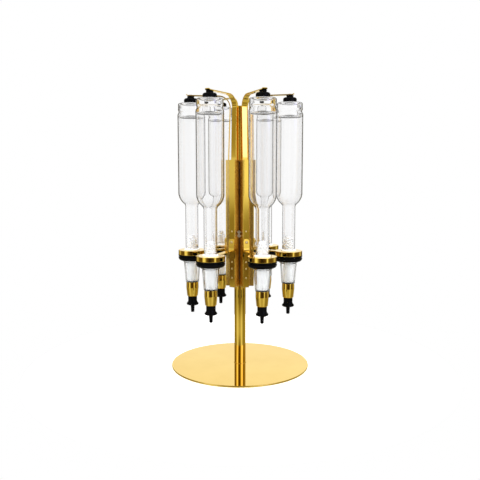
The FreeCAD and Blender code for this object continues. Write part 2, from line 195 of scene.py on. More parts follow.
def add_bar(bm, path, widths, thick, corner, matrix=Matrix.Identity(4)):
    """Flat bar along a path in the XZ plane. widths gives the half width at each path point."""
    rows = []
    n = len(path)
    for i, (x, z) in enumerate(path):
        if i == 0:
            d = Vector((path[1][0] - x, path[1][1] - z))
        elif i == n - 1:
            d = Vector((x - path[i - 1][0], z - path[i - 1][1]))
        else:
            d = (Vector((x - path[i - 1][0], z - path[i - 1][1])).normalized() + Vector((path[i + 1][0] - x, path[i + 1][1] - z)).normalized())
        d.normalize()
        nrm = Vector((-d.y, d.x))
        w = widths[i]
        c = min(corner, w * 0.9, thick * 0.49)
        hw, ht = w, thick / 2
        sect = soften([(-hw, -ht), (hw, -ht), (hw, ht), (-hw, ht)], r=c, steps=4, guard=min(0.25, w * 0.05), axis=False)
        rows.append((x, z, nrm, sect))
    count = min(len(r[3]) for r in rows)
    loops = []
    for x, z, nrm, sect in rows:
        if len(sect) != count:  # keep the same point count all the way along
            step = [sect[round(k * (len(sect) - 1) / (count - 1))] for k in range(count)]
            sect = step
        loops.append([bm.verts.new(matrix @ Vector(((x + v * nrm.x) * MM, u * MM, (z + v * nrm.y) * MM))) for u, v in sect])
    for a, b in zip(loops, loops[1:]):
        for k in range(count):
            bm.faces.new((a[k], a[(k + 1) % count], b[(k + 1) % count], b[k]))
    bm.faces.new(list(reversed(loops[0])))
    bm.faces.new(loops[-1])


def add_tube(bm, points, r, seg=10):
    """Round wire along points, closed at both ends."""
    pts = [Vector(p) for p in points]
    n = len(pts)
    up = Vector((0, 0, 1))
    loops = []
    for i, p in enumerate(pts):
        d = (pts[min(i + 1, n - 1)] - pts[max(i - 1, 0)]).normalized()
        side = d.cross(up)
        if side.length < 1e-6:
            side = Vector((1, 0, 0))
        side.normalize()
        top = side.cross(d).normalized()
        loops.append([bm.verts.new(p + side * (r * math.cos(2 * math.pi * k / seg)) + top * (r * math.sin(2 * math.pi * k / seg))) for k in range(seg)])
    for a, b in zip(loops, loops[1:]):
        for k in range(seg):
            bm.faces.new((a[k], a[(k + 1) % seg], b[(k + 1) % seg], b[k]))
    bm.faces.new(list(reversed(loops[0])))
    bm.faces.new(loops[-1])


def coil_points(cx, cy, radius, z0, z1, turns, dead=0.75, per=28):
    """Centre line of a coil whose end turns lie nearly flat."""
    pts = []
    total = int(turns * per)
    for k in range(total + 1):
        t = turns * k / total
        if t < dead:
            h = 0.10 * t / dead
        elif t > turns - dead:
            h = 1 - 0.10 * (turns - t) / dead
        else:
            h = 0.10 + 0.80 * (t - dead) / (turns - 2 * dead)
        a = 2 * math.pi * t
        pts.append(((cx + radius * math.cos(a)) * MM, (cy + radius * math.sin(a)) * MM, (z0 + (z1 - z0) * h) * MM))
    return pts


# ---------------------------------------------------------------------------
# Materials
# ---------------------------------------------------------------------------
class Tree:
    def __init__(self, name):
        self.mat = bpy.data.materials.new(name)
        self.mat.use_nodes = True
        self.nt = self.mat.node_tree
        self.nt.nodes.clear()
        self.out = self.nt.nodes.new("ShaderNodeOutputMaterial")
        self.bsdf = self.nt.nodes.new("ShaderNodeBsdfPrincipled")
        self.nt.links.new(self.bsdf.outputs["BSDF"], self.out.inputs["Surface"])
        self.co = self.nt.nodes.new("ShaderNodeTexCoord")

    def set(self, **kw):
        for k, v in kw.items():
            self.bsdf.inputs[k.replace("_", " ")].default_value = v
        return self

    def node(self, kind, **kw):
        n = self.nt.nodes.new(kind)
        for k, v in kw.items():
            setattr(n, k, v)
        return n

    def link(self, a, b):
        self.nt.links.new(a, b)

    def mapped(self, scale=(1, 1, 1)):
        m = self.node("ShaderNodeMapping")
        m.inputs["Scale"].default_value = scale
        self.link(self.co.outputs["Object"], m.inputs["Vector"])
        return m.outputs["Vector"]

    def noise(self, scale, detail=3.0, rough=0.5, vector=None, distortion=0.0):
        n = self.node("ShaderNodeTexNoise")
        n.inputs["Scale"].default_value = scale
        n.inputs["Detail"].default_value = detail
        n.inputs["Roughness"].default_value = rough
        n.inputs["Distortion"].default_value = distortion
        self.link(vector if vector is not None else self.co.outputs["Object"], n.inputs["Vector"])
        return n.outputs["Fac"]

    def ramp(self, fac, stops):
        r = self.node("ShaderNodeValToRGB")
        r.color_ramp.elements[0].position = stops[0][0]
        r.color_ramp.elements[0].color = (*stops[0][1], 1)
        r.color_ramp.elements[-1].position = stops[-1][0]
        r.color_ramp.elements[-1].color = (*stops[-1][1], 1)
        for pos, col in stops[1:-1]:
            e = r.color_ramp.elements.new(pos)
            e.color = (*col, 1)
        self.link(fac, r.inputs["Fac"])
        return r.outputs["Color"]

    def span(self, fac, lo, hi, a=0.0, b=1.0):
        m = self.node("ShaderNodeMapRange")
        m.inputs["From Min"].default_value = a
        m.inputs["From Max"].default_value = b
        m.inputs["To Min"].default_value = lo
        m.inputs["To Max"].default_value = hi
        self.link(fac, m.inputs["Value"])
        return m.outputs["Result"]

    def math(self, op, a, b):
        m = self.node("ShaderNodeMath", operation=op)
        for i, v in enumerate((a, b)):
            if isinstance(v, (int, float)):
                m.inputs[i].default_value = v
            else:
                self.link(v, m.inputs[i])
        return m.outputs[0]

    def bump(self, height, distance, strength=1.0):
        b = self.node("ShaderNodeBump")
        b.inputs["Distance"].default_value = distance
        b.inputs["Strength"].default_value = strength
        self.link(height, b.inputs["Height"])
        self.link(b.outputs["Normal"], self.bsdf.inputs["Normal"])


def polished_gold(name, base, rough=(0.035, 0.085), wave=0.00002, wave_scale=16.0, brushed=None):
    """Bright plated steel: faint colour drift, wiped smears in the gloss, hairlines and a slight waviness."""
    t = Tree(name)
    drift = t.noise(11.0, 3.0, 0.55)
    lo = tuple(c * k for c, k in zip(base, (0.965, 0.945, 0.88)))
    hi = tuple(min(1.0, c * k) for c, k in zip(base, (1.02, 1.03, 1.10)))
    t.link(t.ramp(drift, [(0.3, lo), (0.7, hi)]), t.bsdf.inputs["Base Color"])
    smear = t.noise(38.0, 4.0, 0.6, distortion=0.6)
    hair = t.noise(1.0, 2.0, 0.6, t.mapped(brushed or (420.0, 420.0, 60.0)))
    both = t.math("ADD", t.math("MULTIPLY", smear, 0.65), t.math("MULTIPLY", hair, 0.35))
    t.link(t.span(both, rough[0], rough[1], 0.3, 0.7), t.bsdf.inputs["Roughness"])
    height = t.math("ADD", t.noise(wave_scale, 1.0, 0.4), t.math("MULTIPLY", hair, 0.010))
    t.bump(height, wave, 1.0)
    t.set(Metallic=1.0)
    t.bsdf.inputs["Specular Tint"].default_value = (1, 1, 1, 1)
    return t.mat


def clear_stuff(name, tint, ior, rough, edge_shade=None, painted_streak=0.97):
    """Clear glass or styrene whose tint has faint streaks along its height: painted reflections of the surroundings.
    The optional (facing, grey) stops are painted shade: the tint greys where a wall is seen at a grazing angle, which
    draws its outline."""
    t = Tree(name)
    # Painted reflection: lengthwise streaks of darker tint stand in for the surroundings mirrored in the walls.
    drift = t.noise(1.0, 1.0, 0.4, t.mapped((62.0, 62.0, 1.6)))
    lo = tuple(c * painted_streak for c in tint)
    colour = t.ramp(drift, [(0.38, lo), (0.62, tint)])
    if edge_shade:
        # Painted shade: the tint greys as the wall turns to a grazing angle, which draws a dark outline.
        facing = t.node("ShaderNodeLayerWeight")
        facing.inputs["Blend"].default_value = 0.5
        shade = t.ramp(facing.outputs["Facing"], [(f, (g, g, g)) for f, g in edge_shade])
        mix = t.node("ShaderNodeMix", data_type="RGBA", blend_type="MULTIPLY")
        mix.inputs["Factor"].default_value = 1.0
        t.link(colour, mix.inputs["A"])
        t.link(shade, mix.inputs["B"])
        colour = mix.outputs["Result"]
    t.link(colour, t.bsdf.inputs["Base Color"])
    t.link(t.span(t.noise(55.0, 3.0, 0.55), rough[0], rough[1], 0.35, 0.75), t.bsdf.inputs["Roughness"])
    t.set(IOR=ior)
    t.bsdf.inputs["Transmission Weight"].default_value = 1.0
    return t.mat


def moulded(name, dark, light, rough, grain, grain_scale=1500.0, spec=0.5, sub=0.0):
    """Moulded plastic or rubber: fine spark-finish grain, faint flow marks in colour and gloss."""
    t = Tree(name)
    flow = t.noise(46.0, 4.0, 0.55, distortion=0.3)
    t.link(t.ramp(flow, [(0.3, dark), (0.72, light)]), t.bsdf.inputs["Base Color"])
    fine = t.noise(grain_scale, 3.0, 0.6)
    mixed = t.math("ADD", t.math("MULTIPLY", flow, 0.6), t.math("MULTIPLY", fine, 0.4))
    t.link(t.span(mixed, rough[0], rough[1], 0.3, 0.7), t.bsdf.inputs["Roughness"])
    t.bump(fine, grain, 0.7)
    t.bsdf.inputs["Specular IOR Level"].default_value = spec
    if sub:
        t.bsdf.inputs["Subsurface Weight"].default_value = sub
        t.bsdf.inputs["Subsurface Radius"].default_value = (1.0, 0.9, 0.8)
        t.bsdf.inputs["Subsurface Scale"].default_value = 0.003
    return t.mat


def plain_metal(name, lo, hi, rough, along=(300.0, 300.0, 300.0)):
    t = Tree(name)
    drift = t.noise(30.0, 3.0, 0.5)
    t.link(t.ramp(drift, [(0.3, lo), (0.7, hi)]), t.bsdf.inputs["Base Color"])
    hair = t.noise(1.0, 3.0, 0.6, t.mapped(along))
    t.link(t.span(hair, rough[0], rough[1], 0.3, 0.7), t.bsdf.inputs["Roughness"])
    t.bump(hair, 0.000006, 0.5)
    t.set(Metallic=1.0)
    return t.mat


GOLD = (0.94, 0.655, 0.155)
WARM = (0.94, 0.645, 0.105)
gold = polished_gold("gold_polished", WARM)
gold_rail = polished_gold("gold_rail", WARM, rough=(0.05, 0.11), wave=0.000012, wave_scale=12.0, brushed=(500.0, 500.0, 22.0))
gold_plate = polished_gold("gold_plate", GOLD, rough=(0.02, 0.05), wave=0.000004, wave_scale=6.0, brushed=(120.0, 120.0, 120.0))
gold_pole = polished_gold("gold_pole", WARM, rough=(0.03, 0.07), wave=0.000008, wave_scale=14.0, brushed=(500.0, 500.0, 30.0))
gold_ring = polished_gold("gold_ring", WARM, rough=(0.04, 0.09), wave=0.000006, wave_scale=40.0)
gold_sleeve = polished_gold("gold_sleeve", WARM, rough=(0.06, 0.12), wave=0.000006, wave_scale=60.0)
gold_inner = polished_gold("gold_inner", (0.60, 0.38, 0.09), rough=(0.22, 0.34))
# Painted shade: a near-black copy of the gold for the column tube, standing in for the shade in the groove between the
# rails.
dark_groove_shade = polished_gold("gold_groove_shade", (0.16, 0.09, 0.05), rough=(0.35, 0.5))
# Painted highlight: a paler gold for the rivets and screw heads, so they read as lit dots.
gold_painted_highlight = polished_gold("gold_painted_highlight", (1.0, 0.80, 0.40), rough=(0.28, 0.38), wave=0.000004, wave_scale=80.0)
bronze = polished_gold("sintered_bronze", (0.34, 0.21, 0.08), rough=(0.40, 0.55))
# Painted shade: a duller, rougher copy of the rail gold for the flange faces that look into the groove between the
# rails.
gold_groove_flank_shade = polished_gold("gold_groove_flank_shade", (0.90, 0.64, 0.22), rough=(0.20, 0.30), wave=0.000012, wave_scale=12.0, brushed=(500.0, 500.0, 22.0))
# Bottle glass, with a painted dark outline where its walls are seen at a grazing angle.
glass = clear_stuff("clear_glass", (0.985, 0.985, 0.988), 1.50, (0.0, 0.004),
                    [(0.0, 1.0), (0.20, 1.0), (0.40, 0.95), (0.56, 0.84), (0.61, 0.14), (0.70, 0.02), (1.0, 0.01)], painted_streak=0.955)
glass_bore = clear_stuff("clear_glass_bore", (0.990, 0.990, 0.992), 1.50, (0.0, 0.004), painted_streak=0.95)
# Painted shade: a near-black glass for a thin band inside the heel, drawing the dark line that refraction makes there.
heel_shade_line = clear_stuff("clear_glass_heel_shade", (0.01, 0.01, 0.01), 1.50, (0.0, 0.02))
# Chamber styrene, outside and bore, with painted dark outlines where the walls are seen at a grazing angle.
styrene = clear_stuff("clear_styrene", (0.985, 0.988, 0.985), 1.46, (0.0, 0.02),
                      [(0.0, 1.0), (0.30, 0.98), (0.50, 0.90), (0.66, 0.55), (0.76, 0.18), (0.88, 0.05), (1.0, 0.02)])
styrene_bore = clear_stuff("clear_styrene_bore", (0.99, 0.992, 0.99), 1.46, (0.0, 0.02),
                           [(0.0, 1.0), (0.42, 1.0), (0.54, 0.55), (0.66, 0.12), (1.0, 0.04)])
# Painted shade: near-black styrene for a thin band of bore faces at the chamber floor, drawing a dark line there.
chamber_floor_shade = clear_stuff("clear_styrene_floor_shade", (0.02, 0.02, 0.02), 1.46, (0.0, 0.02))
black_plastic = moulded("black_plastic", (0.0012, 0.0012, 0.0014), (0.0024, 0.0024, 0.0028), (0.20, 0.34), 0.000008, spec=0.05)
black_rubber = moulded("black_rubber", (0.0012, 0.0012, 0.0014), (0.0026, 0.0026, 0.0030), (0.24, 0.38), 0.000014, 1100.0, spec=0.05)
white_rubber = moulded("white_rubber", (0.93, 0.93, 0.94), (0.96, 0.96, 0.965), (0.32, 0.48), 0.000010, 1200.0, sub=0.15)
white_plastic = moulded("white_plastic", (0.88, 0.88, 0.885), (0.93, 0.93, 0.93), (0.22, 0.34), 0.000004, 1800.0, sub=0.10)
# Painted shade: a darker copy of the white plastic for the inner cylinders, standing in for the shade inside the
# chamber.
white_cylinder_shade = moulded("white_cylinder_shade", (0.74, 0.75, 0.76), (0.79, 0.80, 0.81), (0.22, 0.34), 0.000004, 1800.0, sub=0.10)
nylon = moulded("nylon", (0.62, 0.60, 0.54), (0.74, 0.72, 0.66), (0.35, 0.5), 0.000008)
steel = plain_metal("steel_screw", (0.80, 0.74, 0.75), (0.92, 0.86, 0.88), (0.24, 0.38))
spring_steel = plain_metal("spring_steel", (0.42, 0.42, 0.44), (0.60, 0.60, 0.62), (0.18, 0.34), (900.0, 900.0, 900.0))
base_felt = moulded("base_pad_rubber", (0.010, 0.010, 0.010), (0.022, 0.022, 0.022), (0.6, 0.8), 0.00005, 700.0)


def dress(ob, mat, body, nodes=()):
    ob.data.materials.clear()
    ob.data.materials.append(mat)
    if body:
        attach(ob, body)
    if nodes:
        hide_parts(*nodes)
    return ob


def second(ob, mat, test):
    """Gives mat to the faces whose centre and normal pass the test."""
    ob.data.materials.append(mat)
    for p in ob.data.polygons:
        if test(p.center, p.normal):
            p.material_index = len(ob.data.materials) - 1
    return ob


def inward(i, p, n):
    """How far a face of station i looks towards the bottle's own axis, from -1 to 1."""
    ax = Vector((BOTTLE_R * MM * math.cos(ANGLES[i]), BOTTLE_R * MM * math.sin(ANGLES[i])))
    out = Vector((p.x - ax.x, p.y - ax.y))
    return -(n.x * out.x + n.y * out.y) / max(out.length, 1e-9)


def paint(node, mat):
    """Gives a carried-over node its material."""
    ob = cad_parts[node]
    if ob.data.users > 1:
        ob.data = ob.data.copy()
    ob.data.materials.clear()
    ob.data.materials.append(mat)


# ---------------------------------------------------------------------------
# Stand
# ---------------------------------------------------------------------------
ALL = [place(i) for i in range(STATIONS)]
MID = [Matrix.Identity(4)]

plate = soften(outline([(3.2, 4.0), (3.2, 3.35), (5.55, 1.0), (149.95, 1.0), (149.95, 4.0)]), r=0.75, steps=5, guard=0.4)
dress(lathes("base_plate_round", plate, MID, 288), gold_plate, "stand", ["base_plate"])
paint("base_pad", base_felt)
paint("base_screw", steel)

foot = soften(outline([(3.0, 4.0), (13.3, 4.0), (13.3, 4.8), (12.9, 5.2), (11.0, 5.2), (11.0, 29.0), (10.0, 30.0), (3.0, 30.0)]), r=0.2)
dress(lathes("pole_foot", foot, MID, 96), gold, "stand", ["pole_foot_plug"])
pole = soften([(11.0, 5.2), (12.5, 5.2), (12.5, 557.5), (11.0, 557.5)], r=0.12, steps=2, guard=0.3)
dress(lathes("pole_tube", pole, MID, 128), gold_pole, "stand", ["pole"])
top = soften(outline([(0, 543.5), (10.2, 543.5), (11.0, 544.5), (11.0, 557.5), (12.5, 557.5), (12.5, 560.4), ((12.0, 561.5), (10.8, 562.0)), (0, 562.0)], 6), r=0.12, steps=2)
dress(lathes("pole_top_cap", top, MID, 96), gold_pole, "stand", ["pole_cap"])
paint("thrust_collar", gold)

# ---------------------------------------------------------------------------
# Turning column
# ---------------------------------------------------------------------------
# The column tube gets the near-black gold: painted shade in the groove between the rails.
paint("column_tube", dark_groove_shade)
paint("column_bushes", bronze)
paint("rail_blocks", gold_inner)
paint("arm_guide_pads", nylon)
paint("brake_screws", steel)
# Rivets and bracket screws get the paler gold: painted highlight.
paint("rail_rivets", gold_painted_highlight)
paint("bracket_screws", gold_painted_highlight)
paint("measure_seals", black_rubber)

hw, x1, t = 7.3, 30.0, 1.2
root = math.sqrt(16.05 ** 2 - hw ** 2) + 0.02
root_in = math.sqrt(16.05 ** 2 - (hw - t) ** 2) + 0.02
section = soften([(root, -hw), (x1, -hw), (x1, hw), (root, hw), (root_in, hw - t), (x1 - t, hw - t), (x1 - t, -hw + t), (root_in, -hw + t)],
                 r=0.9, steps=5, guard=0.25, axis=False)
bm = bmesh.new()
for i in range(STATIONS):
    add_prism(bm, section, 177.5, 449.0, Matrix.Rotation(ANGLES[i], 4, "Z"), levels=(177.9, 448.6))
rails = dress(finish_mesh("rail_channels", bm, 30), gold_rail, "carousel", ["rails"])


def on_flange(p, n):
    a = min(ANGLES, key=lambda v: abs(math.remainder(v - math.atan2(p.y, p.x), 2 * math.pi)))
    return p.x * math.cos(a) + p.y * math.sin(a) < 0.0288 and abs(n.z) < 0.5


# The flange faces get the duller gold copy: painted groove shade.
second(rails, gold_groove_flank_shade, on_flange)

# Ring brackets: leg, bend and tongue as one strap, with the cup ring at its end.
bend = 3.6
tilt = math.radians(2.5)
droop = math.radians(4.6)  # the tongue runs slightly downhill to its ring
low_z = 260.0
for k in range(4):
    c = (31.0 + (281.9 - low_z) * math.tan(tilt) + bend * math.cos(tilt), 0.0)
    c = (c[0], 253.96 + (76.6 - c[0] + bend * math.sin(droop)) * math.tan(droop) + bend * math.cos(droop))
    low_z = c[1] - bend * math.sin(tilt)
leg = [(31.0 + (281.9 - z) * math.tan(tilt), z) for z in (281.9, 281.2, 279.5, 277.0, 270.0, 263.0)]
sweep = math.pi / 2 - droop - tilt
leg += [(c[0] - bend * math.cos(tilt + sweep * k / 15), c[1] - bend * math.sin(tilt + sweep * k / 15)) for k in range(16)]
leg += [(x, 253.96 + (76.6 - x) * math.tan(droop)) for x in (40.0, 60.0, 74.5, 76.6)]
half = []
for x, z in leg:
    if z > 276.9:
        k = (z - 276.9) / 5.0
        half.append(7.0 - 5.0 + 5.0 * math.sqrt(max(0.0, 1 - k * k)))
    else:
        half.append(7.0)
rim = soften(outline([(15.25, 255.0), (15.25, 252.0), (26.5, 252.0), (26.5, 245.0), (29.5, 245.0), (29.5, 255.0)]), r=0.6, steps=4, guard=0.3)
bm = bmesh.new()
for i in range(STATIONS):
    add_bar(bm, leg, half, 2.0, 0.45, Matrix.Rotation(ANGLES[i], 4, "Z"))
    add_lathe(bm, rim, place(i), 128)
dress(finish_mesh("ring_bracket_set", bm, 34), gold_ring, "carousel", ["ring_brackets"])

# ---------------------------------------------------------------------------
# Bottles
# ---------------------------------------------------------------------------
T = 568.3
bottle = outline([
    (0, T - 7.5), (0.4, T - 7.5),
    ((12.0, T - 6.0), (21.5, T - 1.2)),
    ((22.6, T - 0.25), (23.8, T - 0.02)),
    ((26.0, T - 0.75), (27.1, T - 2.8)),
    (27.2, 556.0), (27.2, 553.5),
    ((26.2, 550.5), (27.0, 547.6)),
    ((28.1, 545.2), (28.45, 541.0)),
    (28.45, 530.0), (28.45, 460.0), (28.45, 390.0), (28.45, 378.0),
    ((25.3, 366.2), (17.5, 356.0)),
    ((14.6, 352.6), (13.7, 347.0)),
    (13.7, 335.0), (13.7, 300.0), (13.7, 262.0), (13.7, 259.2), ((13.45, 258.6), (12.9, 258.42)),
    (11.5, 258.42), ((11.05, 258.6), (10.9, 259.0)), (10.9, 262.0), (10.9, 300.0), (10.9, 335.0), (10.9, 347.0),
    ((11.8, 353.4), (15.0, 358.2)),
    ((23.0, 368.0), (26.2, 378.5)),
    (26.2, 390.0), (26.2, 460.0), (26.2, 525.0), (26.2, 537.6),
    ((25.6, 539.6), (24.2, 540.9)),
    ((12.0, 541.6), (0.4, 541.9)), (0, 541.9),
], 12)
for i in range(STATIONS):
    ob = lathes(f"glass_bottle_{i + 1}", bottle, [ALL[i]], 192, 60)
    dress(ob, glass, "carousel", [f"bottle_{i + 1}"])
    second(ob, glass_bore, lambda p, n: p.z < 0.5445 and (inward(i, p, n) > 0.2 or (n.z < -0.3 and p.z > 0.53)))
    # A thin band of down-facing inner faces at the bottom of the cavity gets the near-black glass: painted shade line.
    second(ob, heel_shade_line, lambda p, n: 0.5388 < p.z < 0.54095 and n.z < -0.2 and inward(i, p, n) > 0.15)

# ---------------------------------------------------------------------------
# Stoppers and measures
# ---------------------------------------------------------------------------
stopper = [(2.0, 243.0), (15.1, 243.0), (15.1, 255.0), (16.3, 255.0), (16.6, 255.4), ((16.3, 256.4), (15.4, 257.2)), (14.0, 258.3), (10.2, 258.35)]
for z in (261.0, 265.0, 269.0, 273.0, 277.0):
    body_r = 10.2 - (z - 259.0) * 0.085
    stopper += [(body_r - 0.5, z), (10.84, z + 0.9), (10.84, z + 1.8), (body_r - 0.6, z + 2.5)]
stopper += [(7.6, 281.5), ((6.9, 284.5), (5.6, 286.9)), (2.0, 286.9)]
dress(lathes("stopper_set", soften(outline(stopper), r=0.25, steps=3), ALL, 80), white_rubber, "carousel", ["stoppers"])

collar = outline([
    (15.25, 251.8), (26.4, 251.8), (26.4, 245.0), (29.3, 245.0), ((29.75, 244.7), (29.75, 244.0)), ((29.7, 242.5), (29.0, 242.0)),
    ((28.0, 241.7), (27.8, 241.1)), ((28.1, 240.4), (29.0, 240.1)), ((29.75, 239.6), (29.6, 238.2)),
    ((28.3, 234.6), (24.0, 232.0)),
    (18.05, 232.0), (18.05, 240.0), (15.25, 240.0),
], 6)
dress(lathes("collar_set", soften(collar, r=0.3, steps=3), ALL, 128), black_rubber, "carousel", ["measure_collars"])

chamber = outline([
    (13.0, 240.0), (18.0, 240.0), (18.0, 232.0), ((19.6, 231.9), (20.2, 231.2)), ((20.0, 230.0), (18.6, 229.0)), ((17.9, 228.2), (17.7, 226.0)),
    (16.9, 216.3), (15.2, 195.5), (14.3, 185.2), ((14.1, 184.3), (13.4, 184.0)), (12.25, 184.0), (12.25, 176.2), (11.05, 176.2), (11.05, 184.0),
    ((11.9, 184.4), (12.6, 185.6)), (12.75, 186.9), (16.1, 227.0), (16.4, 238.5), (13.0, 238.5),
], 6)
chambers = dress(lathes("chamber_set", soften(chamber, r=0.25, steps=3, least=30), ALL, 112), styrene, "carousel", ["measure_chambers"])


def chamber_bore(p, n):
    i = min(range(STATIONS), key=lambda k: (p.x - BOTTLE_R * MM * math.cos(ANGLES[k])) ** 2 + (p.y - BOTTLE_R * MM * math.sin(ANGLES[k])) ** 2)
    return p.z > 0.1845 and inward(i, p, n) > 0.2


second(chambers, styrene_bore, chamber_bore)
# The bore faces just above the chamber floor get the near-black styrene: painted shade line.
second(chambers, chamber_floor_shade, lambda p, n: 0.1839 < p.z < 0.1870 and chamber_bore(p + Vector((0, 0, 0.01)), n))
# The inner cylinders get the darker white: painted shade.
paint("inner_cylinders", white_cylinder_shade)

sleeve = outline([
    (12.3, 184.0), (12.9, 184.0), (13.28, 183.7), (13.29, 183.3), (13.49, 171.8), (13.5, 171.4), (13.46, 171.0),
    (12.6, 162.4), (11.8, 154.2), (11.7, 153.5), (11.1, 152.6),
    (10.1, 152.6), (10.1, 171.6), (3.0, 171.6), (3.0, 176.0), (12.3, 176.0),
], 10)
dress(lathes("sleeve_set", soften(sleeve, r=0.25, steps=3), ALL, 112), gold_sleeve, "carousel", ["measure_sleeves"])

# ---------------------------------------------------------------------------
# Push nozzles with their springs
# ---------------------------------------------------------------------------
nozzle = soften(outline([
    (1.8, 146.0), (1.8, 150.0), (7.2, 150.0), (7.2, 158.0), (9.3, 158.0), (9.8, 157.5), (9.8, 144.5),
    ((10.2, 140.0), (12.6, 136.6)),
    ((13.0, 135.2), (12.7, 133.6)),
    ((10.4, 132.3), (5.2, 131.8)),
    ((4.6, 131.6), (4.3, 130.6)), (3.7, 118.0), ((3.3, 116.4), (2.5, 116.05)),
    (1.3, 116.05), (1.6, 128.0), (1.8, 130.0),
], 8), r=0.2, steps=3, least=30)
for i in range(STATIONS):
    dress(lathes(f"spout_{i + 1}", nozzle, [ALL[i]], 80), black_plastic, f"nozzle_unit_{i + 1}", [f"nozzle_{i + 1}"])
    paint(f"valve_rod_{i + 1}", white_plastic)
    cx, cy = BOTTLE_R * math.cos(ANGLES[i]), BOTTLE_R * math.sin(ANGLES[i])
    bm = bmesh.new()
    add_tube(bm, coil_points(cx, cy, 5.9, 150.6, 171.0, 6.2), 0.55 * MM, 10)
    spring = dress(finish_mesh(f"valve_spring_{i + 1}", bm, 60), spring_steel, "carousel", ["valve_springs"])
    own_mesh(spring)

# ---------------------------------------------------------------------------
# Arms
# ---------------------------------------------------------------------------
STRIP_R, STRIP_TOP_R, rb = 24.0, 20.5, 25.0
lean = math.atan2(STRIP_R - STRIP_TOP_R, 557.0 - 453.0)
rise = math.atan2(1.5, 60.0)
bc = (STRIP_TOP_R + rb * math.cos(lean), 557.0 + rb * math.sin(lean))
a0, a1 = math.pi + lean, math.pi / 2 + rise
path = [(STRIP_R, z) for z in (334.0, 334.4, 360.0, 400.0, 440.0, 450.5)]
path += [(STRIP_R - 0.02, 453.0), (STRIP_R - 0.10, 455.5)]
for z in (470.0, 500.0, 530.0, 550.0, 556.0):
    path.append((STRIP_R - (z - 453.0) * math.tan(lean), z))
path += [(bc[0] + rb * math.cos(a0 + (a1 - a0) * k / 20), bc[1] + rb * math.sin(a0 + (a1 - a0) * k / 20)) for k in range(21)]
b1 = path[-1]
kick_x = BOTTLE_R + 4.4
L = (kick_x - b1[0]) / math.cos(rise)
widths = [5.9] * len(path)
for s in (L * 0.2, L * 0.5, L * 0.8, L * 0.95, L):
    path.append((b1[0] + s * math.cos(rise), b1[1] + s * math.sin(rise)))
    widths.append(5.9)
# The last few millimetres turn up to a finger lip with rounded corners.
kick_r, kick_a = 5.0, math.radians(34.0)
kx, kz = path[-1]
for k in range(1, 7):
    a = kick_a * k / 6
    path.append((kx + kick_r * (math.sin(rise + a) - math.sin(rise)), kz + kick_r * (math.cos(rise) - math.cos(rise + a))))
    widths.append(5.9)
kx, kz = path[-1]
for s in (0.2, 0.5, 0.85, 1.2, 1.5, 1.75, 1.9, 1.98):
    path.append((kx + s * math.cos(rise + kick_a), kz + s * math.sin(rise + kick_a)))
    k = max(0.0, (s - 0.2) / 1.8)
    widths.append(5.9 - 1.8 + 1.8 * math.sqrt(max(0.0, 1 - k * k)))
for i in range(STATIONS):
    bm = bmesh.new()
    add_bar(bm, path, widths, 2.0, 0.55, Matrix.Rotation(ANGLES[i], 4, "Z"))
    dress(finish_mesh(f"arm_bar_{i + 1}", bm, 34), gold_rail, f"arm_{i + 1}", [f"arm_strip_{i + 1}"])

over, under = 585.337, 583.337
ct, cb = under - 0.25, T + 0.35
cap = soften(outline([
    (2.1, ct), (7.0, ct), ((7.6, ct - 0.3), (7.8, ct - 0.9)), (7.5, ct - 1.8), ((7.2, ct - 2.6), (7.3, ct - 3.4)),
    ((7.7, cb + 10.6), (8.8, cb + 10.3)), (9.8, cb + 10.1),
    ((13.5, cb + 8.4), (14.4, cb + 5.0)),
    (14.3, cb + 1.8), ((14.1, cb + 0.5), (13.0, cb)),
    (11.5, cb), (10.6, cb + 1.0), (5.4, cb + 1.0), (2.1, cb + 1.0),
], 8), r=0.2, steps=3, least=34)
stud = soften(outline([
    (0, cb - 1.55), (0.3, cb - 1.55), ((3.0, cb - 1.2), (5.15, cb + 0.4)), (5.15, cb + 1.0), (2.05, cb + 1.0),
    (2.05, over + 0.12), (3.7, over + 0.12), (3.7, over + 0.5),
    ((2.6, over + 1.05), (0.3, over + 1.3)), (0, over + 1.3),
], 8), r=0.15, steps=2, least=40)
for i in range(STATIONS):
    dress(lathes(f"presser_{i + 1}", cap, [ALL[i]], 96), black_rubber, f"arm_{i + 1}", [f"presser_cap_{i + 1}"])
    dress(lathes(f"presser_screw_{i + 1}", stud, [ALL[i]], 64), steel, f"arm_{i + 1}", [f"presser_stud_{i + 1}"])
    cx, cy = STRIP_R * math.cos(ANGLES[i]), STRIP_R * math.sin(ANGLES[i])
    bm = bmesh.new()
    add_tube(bm, coil_points(cx, cy, 2.6, 307.2, 332.8, 10.5), 0.5 * MM, 10)
    spring = dress(finish_mesh(f"arm_spring_{i + 1}", bm, 60), spring_steel, None, ["arm_springs"])
    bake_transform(spring)

# ---------------------------------------------------------------------------
# Studio
# ---------------------------------------------------------------------------
bm = bmesh.new()
seg = 96
rim_r = 0.46
centre = bm.verts.new((0, 0, 0))
rows = []
for r in (0.12, 0.24, 0.36, rim_r):
    rows.append([bm.verts.new((r * math.cos(2 * math.pi * k / seg), r * math.sin(2 * math.pi * k / seg), 0)) for k in range(seg)])
for k in range(seg):
    bm.faces.new((centre, rows[0][k], rows[0][(k + 1) % seg]))
for a, b in zip(rows, rows[1:]):
    for k in range(seg):
        bm.faces.new((a[k], b[k], b[(k + 1) % seg], a[(k + 1) % seg]))
floor = finish_mesh("floor", bm)
floor.location.z = -0.0002
tf = Tree("floor_white")
tf.link(tf.ramp(tf.noise(3.0, 3.0), [(0.3, (0.93, 0.93, 0.93)), (0.7, (0.96, 0.96, 0.96))]), tf.bsdf.inputs["Base Color"])
tf.set(Roughness=0.9)
tf.bsdf.inputs["Specular IOR Level"].default_value = 0.1
floor.data.materials.append(tf.mat)
floor.visible_glossy = False
floor.visible_transmission = False

